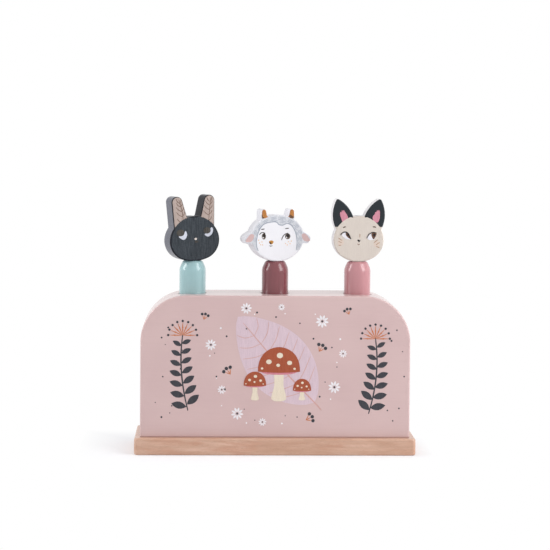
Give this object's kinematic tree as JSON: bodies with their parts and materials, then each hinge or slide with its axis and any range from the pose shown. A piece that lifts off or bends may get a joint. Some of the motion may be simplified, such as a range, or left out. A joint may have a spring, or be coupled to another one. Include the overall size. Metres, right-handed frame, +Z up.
{
  "type": "pop-up peg toy",
  "caption": "Wooden pop-up toy: a round-shouldered drilled block on a low board, with animal-headed pegs that stand on springs in its bores and jump when pressed.",
  "frame": {"origin": "centre of the foot board's underside", "axes": "+X along the board with the cat at the +X end, +Y towards the back, +Z up; the printed front faces -Y"},
  "size_m": [0.2, 0.053, 0.1837],
  "materials": {
    "base_beech": "satin clear lacquer on beech",
    "block_pink": "satin dusty pink paint with a printed front",
    "dowel_beech": "raw turned beech",
    "plug_beech": "raw turned beech",
    "screw_steel": "zinc plated",
    "spring_steel": "drawn wire",
    "cap_white": "moulded",
    "peg_mint": "gloss mint paint",
    "peg_burgundy": "gloss burgundy paint",
    "peg_rose": "gloss rose paint",
    "head_rabbit": "satin grey paint with a printed face",
    "head_lamb": "satin white paint with a printed face",
    "head_cat": "satin pale grey paint with a printed face"
  },
  "bodies": {
    "case": {"base_board": "base_beech", "base_screws": "screw_steel", "block_front_half": "block_pink", "block_back_half": "block_pink", "block_dowels": "dowel_beech", "left_spring_plug": "plug_beech", "middle_spring_plug": "plug_beech", "right_spring_plug": "plug_beech"},
    "left_coil": {"left_spring": "spring_steel"},
    "left_cap": {"left_spring_cap": "cap_white"},
    "rabbit_figure": {"rabbit_peg": "peg_mint", "rabbit_neck_pin": "dowel_beech", "rabbit_head": "head_rabbit"},
    "middle_coil": {"middle_spring": "spring_steel"},
    "middle_cap": {"middle_spring_cap": "cap_white"},
    "lamb_figure": {"lamb_peg": "peg_burgundy", "lamb_neck_pin": "dowel_beech", "lamb_head": "head_lamb"},
    "right_coil": {"right_spring": "spring_steel"},
    "right_cap": {"right_spring_cap": "cap_white"},
    "cat_figure": {"cat_peg": "peg_rose", "cat_neck_pin": "dowel_beech", "cat_head": "head_cat"}
  },
  "joints": [
    {"name": "rabbit_press", "type": "slide", "parent": "case", "child": "left_coil", "axis": [0, 0, 1], "range_m": [-0.0232, 0], "stiffness_N_per_m": 300, "springref_m": 0.002, "deforming": ["left_spring"]},
    {"name": "rabbit_turn", "type": "hinge", "parent": "left_coil", "child": "left_cap", "pos_m": [-0.0595, 0, 0.0605], "axis": [0, 0, 1], "continuous": true},
    {"name": "rabbit_lift", "type": "slide", "parent": "left_cap", "child": "rabbit_figure", "axis": [0, 0, 1], "range_m": [0, 0.105]},
    {"name": "lamb_press", "type": "slide", "parent": "case", "child": "middle_coil", "axis": [0, 0, 1], "range_m": [-0.0232, 0], "stiffness_N_per_m": 300, "springref_m": 0.002, "deforming": ["middle_spring"]},
    {"name": "lamb_turn", "type": "hinge", "parent": "middle_coil", "child": "middle_cap", "pos_m": [0, 0, 0.0605], "axis": [0, 0, 1], "continuous": true},
    {"name": "lamb_lift", "type": "slide", "parent": "middle_cap", "child": "lamb_figure", "axis": [0, 0, 1], "range_m": [0, 0.105]},
    {"name": "cat_press", "type": "slide", "parent": "case", "child": "right_coil", "axis": [0, 0, 1], "range_m": [-0.0232, 0], "stiffness_N_per_m": 300, "springref_m": 0.002, "deforming": ["right_spring"]},
    {"name": "cat_turn", "type": "hinge", "parent": "right_coil", "child": "right_cap", "pos_m": [0.0595, 0, 0.0605], "axis": [0, 0, 1], "continuous": true},
    {"name": "cat_lift", "type": "slide", "parent": "right_cap", "child": "cat_figure", "axis": [0, 0, 1], "range_m": [0, 0.105]}
  ]
}
